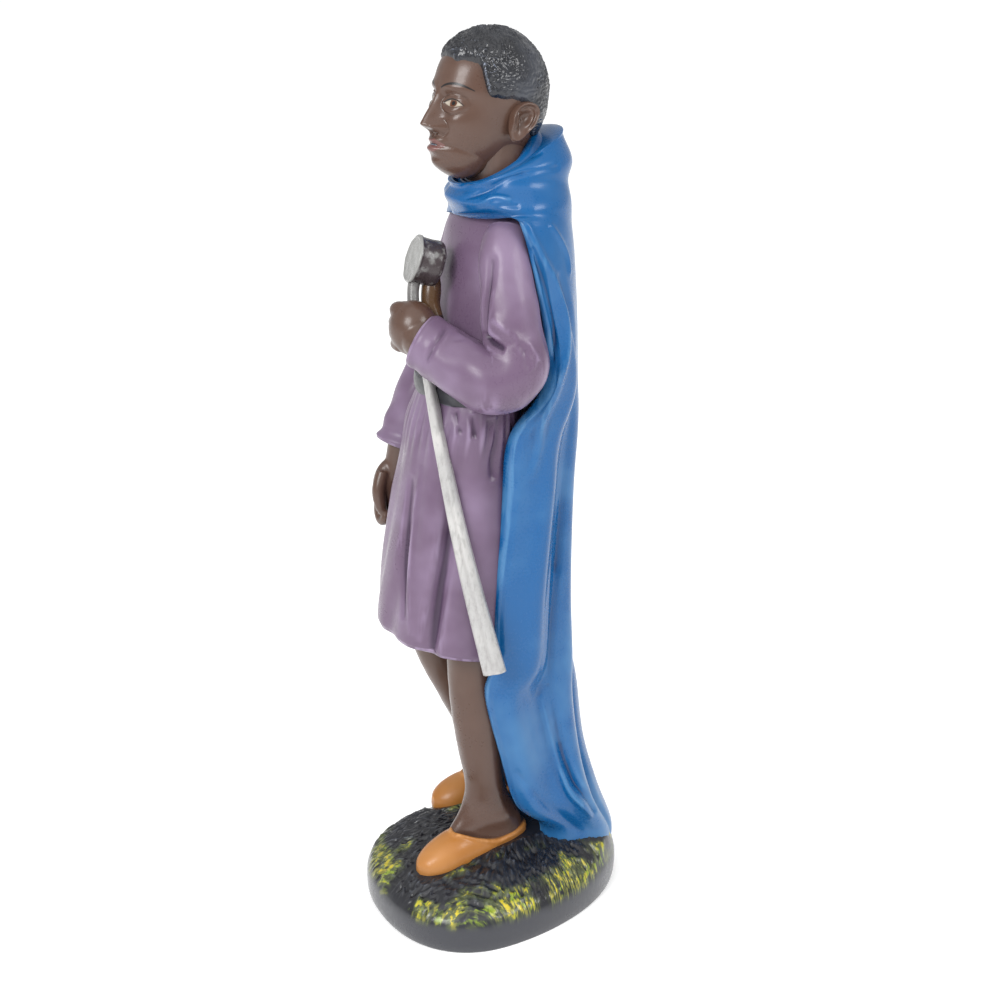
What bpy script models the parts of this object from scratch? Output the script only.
"""A nativity camel driver, cast in plaster in one piece: a young man in a short belted tunic and a long
mantle, with a drawn sword held against his chest, standing on a low grassy mound.

The figure faces -Y and its own left side is +X. The origin is the middle of the flat underside. The free
form is written in millimetres of the 300 mm model, and UNIT turns one of them into metres.
"""

import math

import bmesh
import bpy
from mathutils import Euler, Matrix, Vector

# Driving dimensions, in metres
FIGURE_HEIGHT = 0.300  # underside to the top of the hair
MOUND_LEFT = 0.0373  # reach of the mound from the origin, on the figure's left side
MOUND_RIGHT = 0.0362
MOUND_FRONT = 0.0486
MOUND_BACK = 0.0430
MOUND_WIDEST = 0.017  # how far before the origin it is widest
MOUND_WALL = 0.009  # height of the smooth wall round the mound
MOUND_CROWN = 0.025  # height of the ground at its highest, under the heels
MOUND_PEAK = (-0.010, 0.008)  # where that is
MOUND_LEAN = 0.05  # slope of the ground, up towards the figure's right
BLADE_WIDTH = 0.0082  # the sword, at its square end
BLADE_RELIEF = 0.0030  # how far the blade stands out of the tunic
POMMEL_RADIUS = 0.0078
POMMEL_DEPTH = 0.0100  # from its flat face back into the chest
MANTLE_THICKNESS = 0.0036

UNIT = FIGURE_HEIGHT / 300
FUSING_VOXEL = 0.0007  # the forms run into each other as in a mould, with seams softened to this
TRIANGLES = 9600
FINE_SHARE = 0.00002  # how strongly the head and hands keep their triangles


def mm(x, y, z):
    """A point given in millimetres of the 300 mm figure."""
    return Vector((x, y, z)) * UNIT


def smoothstep(low, high, value):
    """From 0 at low to 1 at high on a soft curve; low may be the larger of the two."""
    t = min(1.0, max(0.0, (value - low) / (high - low)))
    return t * t * (3 - 2 * t)


def bell(value, centre, width):
    return math.exp(-(((value - centre) / width) ** 2))


def along(rows, t):
    """The row at share t of a table of rows, on a smooth curve through all of them."""
    place = t * (len(rows) - 1)
    i = min(int(place), len(rows) - 2)
    f = place - i
    before = rows[max(i - 1, 0)]
    after = rows[min(i + 2, len(rows) - 1)]
    blended = []
    for a, b, c, d in zip(before, rows[i], rows[i + 1], after):
        slope_b = (c - a) / 2
        slope_c = (d - b) / 2
        step = f * f * (3 - 2 * f)
        bend = slope_b * f * (1 - f) ** 2 - slope_c * f * f * (1 - f)
        blended.append(b + (c - b) * step + bend)
    return blended


def mesh_object(name, mesh):
    obj = bpy.data.objects.new(name, mesh)
    FORMS.append(obj)
    return obj


def loft(name, rings):
    """A closed skin over rings of equally many points, running from the lowest ring to the highest."""
    form = bmesh.new()
    skins = [[form.verts.new(point) for point in ring] for ring in rings]
    count = len(rings[0])
    for lower, upper in zip(skins, skins[1:]):
        for i in range(count):
            j = (i + 1) % count
            form.faces.new((lower[i], lower[j], upper[j], upper[i]))
    form.faces.new(reversed(skins[0]))
    form.faces.new(skins[-1])
    bmesh.ops.recalc_face_normals(form, faces=form.faces)
    mesh = bpy.data.meshes.new(name)
    form.to_mesh(mesh)
    form.free()
    return mesh_object(name, mesh)


def tube(name, rows, squash=1.0):
    """A limb: rows of x, y, z and radius in figure millimetres, joined by a smooth tapering tube."""
    curve = bpy.data.curves.new(name, "CURVE")
    curve.dimensions = "3D"
    curve.bevel_depth = UNIT
    curve.bevel_resolution = 4
    curve.use_fill_caps = True
    line = curve.splines.new("POLY")
    steps = 6 * (len(rows) - 1)
    line.points.add(steps)
    for k in range(steps + 1):
        x, y, z, radius = along(rows, k / steps)
        line.points[k].co = (*mm(x, y, z), 1)
        line.points[k].radius = radius
    drawn = bpy.data.objects.new(name + "_line", curve)
    bpy.context.scene.collection.objects.link(drawn)
    graph = bpy.context.evaluated_depsgraph_get()
    mesh = bpy.data.meshes.new_from_object(drawn.evaluated_get(graph))
    bpy.data.objects.remove(drawn)
    form = bmesh.new()
    form.from_mesh(mesh)
    bmesh.ops.remove_doubles(form, verts=form.verts, dist=0.00001)
    form.to_mesh(mesh)
    form.free()
    return mesh_object(name, mesh)


def ball(name, shape, place, segments=32, rings=24):
    """A sphere whose every unit direction is moved to shape(direction), then set in place."""
    form = bmesh.new()
    bmesh.ops.create_uvsphere(form, u_segments=segments, v_segments=rings, radius=1)
    for vertex in form.verts:
        vertex.co = place @ (shape(vertex.co.copy()) * UNIT)
    mesh = bpy.data.meshes.new(name)
    form.to_mesh(mesh)
    form.free()
    return mesh_object(name, mesh)


def pebble(name, centre, radii, turn=(0, 0, 0)):
    """An ellipsoid with its own three radii, turned by degrees about X, Y and Z."""
    spin = Euler([math.radians(angle) for angle in turn]).to_matrix().to_4x4()
    place = Matrix.Translation(mm(*centre)) @ spin
    return ball(name, lambda d: Vector([d[i] * radii[i] for i in range(3)]), place, 20, 14)


# The mound: an egg-shaped plinth, squarer in front, with a smooth wall and rising ground

MOUND_SWELL = (12.0, 35.0, 4.5)  # x, y and height in mm of the ground that rises under the mantle's hem


def mound_outline(angle):
    """A point of the mound's outline: rounded square, but tapering more behind on the figure's left."""
    in_front = math.sin(angle) < 0
    power = 2.3 if in_front or math.cos(angle) < 0 else 1.85
    reach = MOUND_FRONT - MOUND_WIDEST if in_front else MOUND_BACK + MOUND_WIDEST
    across = abs(math.cos(angle)) / (MOUND_LEFT if math.cos(angle) > 0 else MOUND_RIGHT)
    lengthwise = abs(math.sin(angle)) / reach
    away = (across**power + lengthwise**power) ** (-1 / power)
    return away * math.cos(angle), away * math.sin(angle) - MOUND_WIDEST


def mound():
    foot = 0.002  # cut away flat at the end
    climb = MOUND_CROWN - MOUND_WALL
    profile = [  # share of the way from the peak to the outline, and height there
        (0.965, -foot),
        (0.975, 0),
        (1.0, MOUND_WALL * 0.35),
        (1.0, MOUND_WALL),
        (0.975, MOUND_WALL + climb * 0.19),
        (0.92, MOUND_WALL + climb * 0.35),
        (0.80, MOUND_WALL + climb * 0.55),
        (0.62, MOUND_WALL + climb * 0.73),
        (0.42, MOUND_WALL + climb * 0.89),
        (0.20, MOUND_WALL + climb * 0.98),
        (0.03, MOUND_CROWN),
    ]
    count = 72
    rings = []
    for share, height in profile:
        peak_x, peak_y = MOUND_PEAK if height > MOUND_WALL else (0, 0)
        ring = []
        for k in range(count):
            angle = 2 * math.pi * k / count
            ridge = 0.0005 * math.sin(9 * angle + 30 * share) * smoothstep(0.99, 0.9, share)
            x, y = mound_outline(angle)
            x = x * share + peak_x * (1 - share)
            y = y * share + peak_y * (1 - share)
            lean = MOUND_LEAN * -x * smoothstep(MOUND_WALL, MOUND_CROWN, height)
            near = bell(math.hypot(x / UNIT - MOUND_SWELL[0], y / UNIT - MOUND_SWELL[1]), 0, 15)
            swell = MOUND_SWELL[2] * UNIT * near * smoothstep(1.0, 0.93, share)
            ring.append(Vector((x, y, height + ridge + lean + swell)))
        rings.append(ring)
    return loft("mound", rings)


# Feet in slippers, and bare legs

SLIPPER = [  # share of the length, half width, height of the upper, depth of the sole in the ground
    (0.00, 2.2, 2.6, 2.6),
    (0.05, 4.6, 3.6, 3.2),
    (0.20, 6.4, 4.8, 3.4),
    (0.35, 6.9, 6.0, 3.4),
    (0.52, 7.5, 7.8, 3.4),
    (0.67, 7.8, 8.8, 3.4),
    (0.84, 7.0, 6.9, 3.2),
    (0.95, 4.7, 4.6, 3.0),
    (1.00, 1.6, 2.8, 2.4),
]


def slipper(name, heel, toe):
    """A soft shoe from heel to toe, round above and flat below."""
    start = mm(*heel)
    run = mm(*toe) - start
    side = run.cross(Vector((0, 0, 1))).normalized() * -1
    rings = []
    steps = 22
    for k in range(steps + 1):
        share, half, top, sole = along(SLIPPER, k / steps)
        ring = []
        for j in range(20):
            angle = 2 * math.pi * j / 20
            lift = math.sin(angle)
            rise = top * lift if lift > 0 else sole * lift
            width = half * math.copysign(abs(math.cos(angle)) ** 0.8, math.cos(angle))
            ring.append(start + run * share + side * width * UNIT + Vector((0, 0, rise * UNIT)))
        rings.append(ring)
    return loft(name, rings)


LEFT_LEG = [(1.5, -12, 112, 9.2), (2.6, -14.2, 94, 7.8), (3.4, -13.2, 72, 7.6),
            (3.0, -10.2, 50, 6.9), (2.4, -6.6, 37, 6.6), (2.2, -4.0, 27, 6.9)]
RIGHT_LEG = [(-21, -17, 112, 9.4), (-24.5, -15.5, 92, 7.8), (-26.5, -4.0, 66, 7.2),
             (-27.4, 5.0, 46, 6.2), (-27.2, 9.5, 35, 6.0), (-26.8, 11.0, 26, 6.2)]


def legs():
    tube("left_leg", LEFT_LEG)
    tube("right_leg", RIGHT_LEG)
    pebble("left_instep", (3.0, -11.0, 29.5), (6.0, 12.6, 8.2), (30, 0, 5))
    pebble("right_instep", (-27.0, 4.0, 29.5), (5.8, 12.0, 7.4), (24, 0, 0))
    slipper("left_slipper", (2.0, 6.5, 24.2), (6.2, -36.5, 18.6))
    slipper("right_slipper", (-25.4, 22.5, 24.0), (-27.2, -15.2, 22.8))


# The tunic: bloused over a belt, with a skirt that flares forward to a level hem

TUNIC = [  # height, middle x and y, half width, half depth, depth of the folds
    (98.2, -10.0, -14.0, 31.6, 23.6, 0.60),
    (100.5, -10.0, -14.0, 33.0, 24.8, 0.60),
    (112.0, -10.0, -13.6, 32.6, 24.2, 0.60),
    (128.0, -10.0, -13.0, 31.0, 22.8, 0.52),
    (146.0, -10.0, -12.0, 28.8, 20.8, 0.42),
    (160.0, -10.0, -11.0, 26.8, 18.8, 0.34),
    (172.0, -10.0, -10.2, 24.8, 17.4, 0.24),
    (180.5, -10.0, -9.2, 22.2, 15.8, 0.10),
    (186.5, -10.0, -8.2, 21.2, 14.8, 0.04),
    (192.0, -10.0, -7.0, 23.2, 15.8, 0.12),
    (199.0, -10.0, -5.0, 24.0, 15.6, 0.25),
    (211.0, -10.0, -2.2, 24.6, 14.2, 0.15),
    (226.0, -10.0, 0.0, 25.0, 13.4, 0.05),
    (236.0, -9.6, 1.2, 23.0, 12.6, 0.00),
    (243.0, -9.2, 2.2, 19.4, 13.0, 0.00),
    (248.0, -9.0, 3.0, 13.0, 11.0, 0.00),
]
HEM_TILT = 0.19  # the hem rides up in front
FOLD_COUNT = 8
SIDE_PRESS = 0.17  # how much narrower the skirt is on the left, where the mantle lies over it


def tunic_fold(angle, height):
    """Depth of the skirt's pleats, in millimetres: narrow valleys between broad rolls, drifting as they fall."""
    drift = 0.35 * math.sin(height / 31.0)
    wave = 0.5 + 0.5 * math.cos(FOLD_COUNT * (angle + drift) + 1.3 * math.sin(2 * angle))
    return -2.6 * wave**1.8 + 0.8


def tunic():
    rings = []
    steps = 56
    count = 110
    for k in range(steps + 1):
        height, x, y, half, deep, folds = along(TUNIC, k / steps)
        ring = []
        for j in range(count):
            angle = 2 * math.pi * j / count
            swell = 1 + tunic_fold(angle, height) * folds / 28
            forward = deep * swell * math.cos(angle)
            rise = HEM_TILT * forward * smoothstep(150, 100, height)
            pressed = 1 - SIDE_PRESS * smoothstep(0, 1, math.sin(angle)) * smoothstep(182, 160, height)
            ring.append(mm(x + half * swell * pressed * math.sin(angle), y - forward, height + rise))
        rings.append(ring)
    loft("tunic", rings)


def belt():
    """A narrow strap round the waist, buckled in front under the crossed arm."""
    rings = []
    for height, proud in ((184.0, -2.0), (184.3, 0.6), (185.6, 1.2), (187.4, 1.2), (188.9, 0.6), (189.2, -2.0)):
        ring = []
        for j in range(64):
            angle = 2 * math.pi * j / 64
            across, deep = 21.6 + proud, 15.3 + proud
            ring.append(mm(-10 + across * math.sin(angle), -8.0 - deep * math.cos(angle), height))
        rings.append(ring)
    loft("belt", rings)


# Arms: full sleeves, the left one bent across the chest and the right one hanging

LEFT_SLEEVE = [(5.0, -1.2, 238, 6.8), (9.2, -4.4, 230.5, 8.1), (14.2, -5.4, 214, 9.5), (18.4, -5.8, 199, 10.5),
               (16.8, -12.4, 193.6, 10.6), (10.4, -20.4, 197.2, 10.3), (3.8, -26.2, 202.2, 9.8), (0.3, -29.6, 204.6, 8.6)]
RIGHT_SLEEVE = [(-27, 4, 240, 7.0), (-32.0, 4.0, 231, 9.2), (-36.5, 1.5, 212, 9.4), (-39.6, -3.0, 192, 9.2),
                (-41.0, -9.6, 176, 8.8), (-41.6, -16.0, 164, 8.0), (-41.8, -18.6, 157.5, 8.3)]
FIST = (-6.4, -29.2, 207.6)
RIGHT_HAND = (-42.4, -21.2, 141.0)


def arms():
    tube("left_sleeve", LEFT_SLEEVE)
    tube("right_sleeve", RIGHT_SLEEVE)
    x, y, z = FIST
    pebble("fist", FIST, (8.4, 7.8, 8.9), (0, 0, 10))
    tube("left_wrist", [(x + 2, y + 0.4, z - 1, 6.4), (x + 6, y + 0.6, z - 3, 6.4), (x + 10, y + 2.6, z - 4.6, 6.0)])
    for k in range(4):
        drop = 5.2 - 3.6 * k
        pebble(f"finger_{k}", (x - 5.2, y - 0.8 + abs(k - 1.5) * 0.5, z + drop), (5.0, 5.6, 2.4), (0, 6, 26))
    pebble("thumb", (x - 3.6, y - 0.6, z + 6.2), (3.4, 5.4, 2.7), (6, 0, -30))
    x, y, z = RIGHT_HAND
    tube("right_wrist", [(-41.2, -18.0, 160, 5.0), (-41.9, -19.8, 151, 4.6), (x, y, z, 5.0)])
    pebble("right_palm", RIGHT_HAND, (4.3, 6.8, 9.4), (-6, 0, 0))
    for k in range(4):
        reach = 3.2 - 2.9 * k
        pebble(f"right_finger_{k}", (x + 1.6, y + reach, z - 8.6 + 0.7 * k), (3.6, 2.0, 5.0), (0, 12, 0))
    pebble("right_thumb", (x + 2.0, y - 6.4, z - 3.5), (2.4, 2.2, 7.0), (14, 0, 0))


# The head: one egg for the skull and one for the face, blended, with carved features

HEAD = (-10.0, -3.0, 276.2)
HEAD_TURN = (-9, 0, 6)  # chin lifted, and turned a little to the figure's left
SKULL = ((0, 2.3, 5.4), (14.2, 18.1, 16.6))
NAPE = ((0, 6.6, -4.5), (11.5, 12.4, 15.0))
FACE = ((0, -3.2, -6.2), (11.6, 12.8, 15.4))
JAW = ((0, -5.4, -15.6), (7.8, 8.4, 7.2))
EYE = (6.2, -1.2)  # sideways and up from the middle of the head
NOSE_TIP = -8.6
MOUTH = -14.4


def egg_reach(direction, egg):
    """How far a ray from the head's middle travels to leave an ellipsoid."""
    centre, radii = egg
    a = sum((direction[i] / radii[i]) ** 2 for i in range(3))
    b = sum(direction[i] * centre[i] / radii[i] ** 2 for i in range(3))
    c = sum((centre[i] / radii[i]) ** 2 for i in range(3)) - 1
    inside = b * b - a * c
    return (b + math.sqrt(inside)) / a if inside > 0 else 0


def features(x, z):
    """How far the carving stands forward of the plain face at x sideways and z up."""
    side = abs(x)
    brow = 1.0 * bell(z, 3.0, 1.8) * bell(side, 5.4, 5.5)
    socket = -2.1 * bell(z, EYE[1] + 0.3, 2.9) * bell(side, EYE[0] - 0.8, 3.4)
    ball_of_eye = 1.6 * bell(z, EYE[1], 1.8) * bell(side, EYE[0], 2.6)
    slope = min(1.0, max(0.0, (1.8 - z) / (1.8 - NOSE_TIP)))
    underside = smoothstep(NOSE_TIP - 2.4, NOSE_TIP + 0.4, z) * smoothstep(4.6, 0.6, z)
    nose = (0.9 + 4.2 * slope**1.2) * underside * bell(x, 0, 1.9 + 1.1 * slope**2)
    wing = 2.0 * bell(side, 3.3, 1.5) * bell(z, NOSE_TIP - 0.2, 1.7)
    cheek = 0.9 * bell(side, 8.4, 3.2) * bell(z, -5.6, 3.6)
    muzzle = 1.0 * bell(x, 0, 5.6) * bell(z, MOUTH, 3.8)
    upper_lip = 1.4 * bell(z, MOUTH + 1.3, 1.1) * bell(x, 0, 4.2)
    lower_lip = 1.6 * bell(z, MOUTH - 1.6, 1.2) * bell(x, 0, 3.7)
    parting = -1.0 * bell(z, MOUTH - 0.1, 0.6) * bell(x, 0, 4.8)
    chin = 1.3 * bell(x, 0, 4.0) * bell(z, -20.4, 2.4)
    return brow + socket + ball_of_eye + nose + wing + cheek + muzzle + upper_lip + lower_lip + parting + chin


def head_shape(direction):
    power = 9
    reach = sum(egg_reach(direction, egg) ** power for egg in (SKULL, NAPE, FACE, JAW)) ** (1 / power)
    point = direction * reach
    in_front = smoothstep(0.15, 0.65, -direction.y)
    point.y -= features(point.x, point.z) * in_front
    return point


def hairline(direction):
    """Height of the hair's edge: across the brow, down to a sideburn, over the ear and down to the nape."""
    turn = math.degrees(math.atan2(abs(direction.x), -direction.y))
    forehead = 13.6 - 3.0 * smoothstep(30, 58, turn)
    temple = -13.4 * smoothstep(58, 78, turn)
    nape = -9.0 * smoothstep(100, 135, turn)
    return forehead + temple + nape


def hair_shape(direction):
    point = head_shape(direction)
    rise = smoothstep(-1.2, 1.6, point.z - hairline(direction))
    curl = 0.5 * math.sin(1.1 * point.z + 0.8 * point.y) * math.sin(1.3 * point.x - 0.7 * point.y)
    return point + direction * (-1.4 + (2.9 + curl) * rise)


def head():
    spin = Euler([math.radians(angle) for angle in HEAD_TURN]).to_matrix().to_4x4()
    place = Matrix.Translation(mm(*HEAD)) @ spin
    ball("head", head_shape, place, 96, 96)
    ball("hair", hair_shape, place, 72, 60)
    for side in (-1, 1):
        centre = spin @ Vector((side * 14.0, 6.2, -3.8))
        ear = [HEAD[i] + centre[i] for i in range(3)]
        pebble(f"ear_{side}", ear, (1.9, 4.0, 5.8), (HEAD_TURN[0] - 8, side * 8, HEAD_TURN[2] + side * 24))
    tube("neck", [(-9.4, 4.5, 236, 11.0), (-9.4, 3.0, 252, 10.0), (-9.8, 0.5, 266, 10.0)])


# The mantle: wound round the neck as a cowl, then hanging open to the ground behind

MANTLE = [
    # height of the front or edge, height at the back, middle x and y, half width, depth before the middle,
    # depth behind it, angle of the left edge and of the right edge from straight ahead, inner depth behind
    (250.0, 262.4, -10, 3.6, 13.0, 15.0, 14.4, 0, 0, 10.4),
    (252.0, 266.8, -10, 4.0, 15.4, 17.2, 18.2, 0, 0, 12.4),
    (250.0, 266.0, -10, 4.4, 17.8, 18.6, 20.6, 0, 0, 13.6),
    (246.5, 258.0, -10, 4.0, 20.8, 18.6, 22.0, 0, 0, 15.0),
    (242.6, 251.0, -10, 3.0, 24.6, 17.6, 22.6, 0, 0, 16.4),
    (246.6, 239.0, -10.5, 2.4, 26.8, 17.6, 23.1, 63, 44, 18.0),
    (247.1, 228.5, -11.7, 1.6, 29.4, 18.0, 24.6, 84, 88, 19.0),
    (232.3, 211.0, -11.2, 1.2, 31.9, 20.0, 24.4, 93, 100, 19.0),
    (200.2, 188.0, -10.7, 1.0, 32.9, 21.0, 24.5, 102, 104, 18.0),
    (176.0, 169.0, -12.7, 0.0, 29.9, 22.0, 26.7, 82, 94, 18.0),
    (156.7, 149.0, -12.4, -2.0, 29.6, 24.0, 26.8, 83, 92, 16.0),
    (121.5, 117.0, -11.6, -3.6, 30.4, 26.0, 27.2, 77, 90, 13.0),
    (96.8, 93.0, -11.1, -3.6, 29.9, 26.0, 28.5, 75, 92, 10.0),
    (84.1, 76.0, -9.8, -1.0, 26.6, 24.0, 28.5, 61, 94, 8.0),
    (58.8, 54.0, -7.7, 6.0, 24.7, 23.0, 23.8, 52, 90, 5.0),
    (38.6, 37.0, -4.4, 14.6, 23.6, 22.0, 19.0, 44, 84, 1.0),
    (27.0, 18.4, -5.0, 25.0, 21.5, 19.5, 16.6, 42, 76, -6.0),
    (20.0, 12.0, -4.8, 25.2, 21.5, 19.0, 16.4, 42, 76, -6.0),
]
LINING = 4.5  # extra plaster inside it beside the skirt, in millimetres
BOXINESS = 0.84  # below 1 the sides and the back of the hanging mantle are flatter than an oval's


def rounded(value, share):
    return math.copysign(abs(value) ** (1 - (1 - BOXINESS) * share), value)


def mantle_fold(share, depth, low):
    """Relief of the hanging cloth in millimetres at a share of the way round and of the way down."""
    hang = smoothstep(0.36, 0.6, low)
    wander = 0.03 * math.sin(5.0 * low) + 0.05 * (1 - low)
    left_roll = 1.6 * bell(share, 0.10 + wander, 0.045) - 1.8 * bell(share, 0.20 + wander, 0.045)
    back_roll = 1.9 * bell(share, 0.31 + wander, 0.055) - 2.8 * bell(share, 0.405 + wander, 0.026)
    spine = 1.7 * bell(share, 0.50, 0.055) - 2.0 * bell(share, 0.60 - wander, 0.035)
    right_roll = 1.8 * bell(share, 0.69 - wander, 0.05) - 2.0 * bell(share, 0.79 - wander, 0.04)
    right_edge = 1.4 * bell(share, 0.89 - wander, 0.045)
    hang *= smoothstep(1.0, 0.86, low)
    return hang * depth * (left_roll + back_roll + spine + right_roll + right_edge)


def cowl_fold(share, low):
    """Relief of the cloth wound round the neck: rolls that climb from the throat to the nape."""
    wound = smoothstep(0.02, 0.08, low) * smoothstep(0.32, 0.18, low)
    climb = 0.55 * math.cos(2 * math.pi * share)
    return wound * 1.1 * math.sin(2 * math.pi * (9.5 * low + climb) + 0.6)


def mantle():
    rings = []
    steps = 84
    across = 84
    for k in range(steps + 1):
        low = k / steps
        front, back, x, y, half, ahead, behind, left, right, inner = along(MANTLE, low)
        outside, inside = [], []
        for j in range(across + 1):
            share = j / across
            angle = math.radians(left + (360 - left - right) * share)
            turned_back = (1 - math.cos(angle)) / 2
            height = front + (back - front) * turned_back
            edge = smoothstep(0, 0.035, min(share, 1 - share)) if left > 2 else 1
            relief = mantle_fold(share, 0.6 + 0.8 * low, low) + cowl_fold(share, low)
            swell = (relief - 1.4 * (1 - edge)) / 28
            square = smoothstep(0.25, 0.45, low)
            across_turn = rounded(math.sin(angle), square)
            along_turn = rounded(math.cos(angle), square)
            deep = ahead if along_turn > 0 else behind
            outside.append(mm(x + half * (1 + swell) * across_turn,
                              y - deep * (1 + swell) * along_turn, height))
            wall = MANTLE_THICKNESS / UNIT + LINING * bell(height, 138, 48)
            deep_in = ahead - wall if along_turn > 0 else inner
            inside.append(mm(x + (half - wall) * across_turn, y - deep_in * along_turn, height))
        rings.append(outside + inside[::-1])
    return loft("mantle", rings)


# The sword: a drum pommel, a bound neck and a blade that widens to a square end

POMMEL = (-13.6, -26.0, 228.4)
BLADE_TOP = (-1.6, -24.8, 193.0)
BLADE_END = (24.0, -15.8, 97.0)


def sword():
    form = bmesh.new()
    bmesh.ops.create_cone(form, cap_ends=True, segments=40, radius1=POMMEL_RADIUS,
                          radius2=POMMEL_RADIUS * 0.94, depth=POMMEL_DEPTH)
    face = mm(*POMMEL)
    back = Vector((0.26, 0.916, -0.304)).normalized()
    turn = back.to_track_quat("-Z", "Y").to_matrix().to_4x4()
    middle = Matrix.Translation(face + back * POMMEL_DEPTH / 2)
    bmesh.ops.transform(form, matrix=middle @ turn, verts=form.verts)
    mesh = bpy.data.meshes.new("pommel")
    form.to_mesh(mesh)
    form.free()
    mesh_object("pommel", mesh)
    tube("grip", [(-12.0, -24.0, 224, 3.4), (-10.4, -26.6, 217, 2.7), (-6.8, -27.4, 207, 2.6), (-1.8, -25.4, 193, 2.6)])

    top, end = mm(*BLADE_TOP), mm(*BLADE_END)
    run = end - top
    outward = Vector((0.74, -0.67, 0.0))
    side = run.cross(outward).normalized()
    out = side.cross(run).normalized()
    rings = []
    steps = 20
    for k in range(steps + 1):
        share = k / steps
        half = BLADE_WIDTH / 2 * (0.52 + 0.48 * share)
        bow = 4.2 * UNIT * math.sin(math.pi * share)
        middle = top + run * share + out * bow
        ring = []
        for j in range(24):
            angle = 2 * math.pi * j / 24
            across = math.copysign(abs(math.cos(angle)) ** 0.6, math.cos(angle))
            lift = math.copysign(abs(math.sin(angle)) ** 0.7, math.sin(angle))
            groove = 0.28 * smoothstep(0.3, 0.5, share) * bell(across, 0, 0.3) if lift > 0 else 0
            ring.append(middle + side * half * across + out * BLADE_RELIEF * (lift - groove))
        rings.append(ring)
    loft("blade", rings)


# Casting: all forms fused into one closed body, thinned and cut flat underneath

def fused(forms):
    """One closed body of all the forms, with softened seams, as they leave the mould."""
    joined = bmesh.new()
    for form in forms:
        joined.from_mesh(form.data)
        bpy.data.objects.remove(form)
    mesh = bpy.data.meshes.new("figurine")
    joined.to_mesh(mesh)
    joined.free()
    body = bpy.data.objects.new("figurine", mesh)
    PIECES.objects.link(body)
    voxels = body.modifiers.new("fuse", "REMESH")
    voxels.mode = "VOXEL"
    voxels.voxel_size = FUSING_VOXEL
    soften = body.modifiers.new("soften", "SMOOTH")
    soften.factor = 0.5
    soften.iterations = 2
    return without_crumbs(baked(body))


def without_crumbs(body):
    """Only the largest closed shell: pockets shut in between two forms are solid plaster in a casting."""
    form = bmesh.new()
    form.from_mesh(body.data)
    shells = []
    seen = set()
    for start in form.verts:
        if start in seen:
            continue
        seen.add(start)
        shell = [start]
        for vertex in shell:
            for edge in vertex.link_edges:
                other = edge.other_vert(vertex)
                if other not in seen:
                    seen.add(other)
                    shell.append(other)
        shells.append(shell)
    shells.sort(key=len)
    crumbs = [vertex for shell in shells[:-1] for vertex in shell]
    bmesh.ops.delete(form, geom=crumbs, context="VERTS")
    form.to_mesh(body.data)
    form.free()
    return body


def baked(body):
    """The object with its modifiers applied."""
    graph = bpy.context.evaluated_depsgraph_get()
    mesh = bpy.data.meshes.new_from_object(body.evaluated_get(graph))
    body.modifiers.clear()
    body.data = mesh
    return body


def thinned(body):
    """The fused body brought down to its triangle count, with more of them left on the head and hands."""
    fine = body.vertex_groups.new(name="plain")
    for vertex in body.data.vertices:
        point = vertex.co / UNIT
        on_head = smoothstep(246, 256, point.z)
        on_hand = max(bell((point - Vector(hand)).length, 0, 12) for hand in (FIST, RIGHT_HAND, POMMEL))
        fine.add([vertex.index], 1 - 0.9 * max(on_head, on_hand), "REPLACE")
    triangles = sum(len(face.vertices) - 2 for face in body.data.polygons)
    collapse = body.modifiers.new("thin", "DECIMATE")
    collapse.ratio = TRIANGLES / triangles
    collapse.vertex_group = "plain"
    collapse.vertex_group_factor = FINE_SHARE
    collapse.use_collapse_triangulate = True
    return baked(body)


def flat_below(body):
    """The casting cut off level at the underside, so that it stands by itself."""
    form = bmesh.new()
    form.from_mesh(body.data)
    everything = form.verts[:] + form.edges[:] + form.faces[:]
    bmesh.ops.bisect_plane(form, geom=everything, dist=1e-7, plane_co=(0, 0, 0),
                           plane_no=(0, 0, 1), clear_inner=True)
    rim = [edge for edge in form.edges if edge.is_boundary]
    bmesh.ops.contextual_create(form, geom=rim)
    bmesh.ops.triangulate(form, faces=form.faces)
    bmesh.ops.recalc_face_normals(form, faces=form.faces)
    form.to_mesh(body.data)
    form.free()


def painted_plaster():
    material = bpy.data.materials.new("painted_plaster")
    material.use_nodes = True
    shader = material.node_tree.nodes["Principled BSDF"]
    shader.inputs["Base Color"].default_value = (0.09, 0.2, 0.42, 1)
    shader.inputs["Roughness"].default_value = 0.42
    shader.inputs["Metallic"].default_value = 0.0
    return material


for leftover in list(bpy.data.objects):
    bpy.data.objects.remove(leftover)
PIECES = bpy.data.collections.new("camel_driver_figurine")
bpy.context.scene.collection.children.link(PIECES)
FORMS = []

mound()
legs()
tunic()
belt()
arms()
head()
mantle()
sword()
FIGURINE = fused(FORMS)
thinned(FIGURINE)
flat_below(FIGURINE)
FIGURINE.data.materials.append(painted_plaster())
FIGURINE.data.shade_smooth()
FIGURINE.data.set_sharp_from_angle(angle=math.radians(50))
